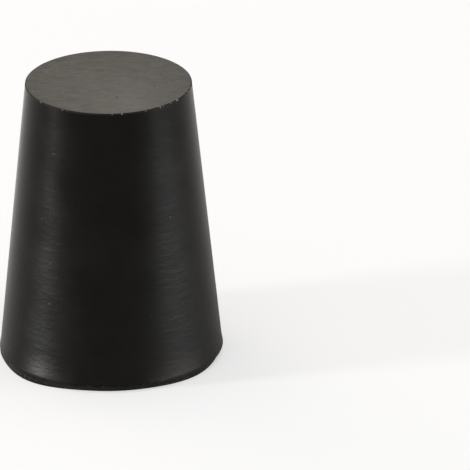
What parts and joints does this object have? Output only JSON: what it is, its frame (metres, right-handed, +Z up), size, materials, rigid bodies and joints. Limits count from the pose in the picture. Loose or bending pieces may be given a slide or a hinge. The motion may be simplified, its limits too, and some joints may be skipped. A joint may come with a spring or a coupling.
{
  "type": "rubber stopper",
  "caption": "Solid tapered plug with flat ends, moulded in black rubber, that closes the neck of a flask or test tube.",
  "frame": {"origin": "centre of the wide end face, which the stopper stands on", "axes": "+Z up the axis towards the narrow end, +X through the size groove in the wide face"},
  "size_m": [0.019, 0.019, 0.0245],
  "materials": {
    "black_rubber": "satin moulded flank, matt grey-bloomed end faces"
  },
  "bodies": {
    "root": {"stopper": "black_rubber"}
  },
  "joints": []
}
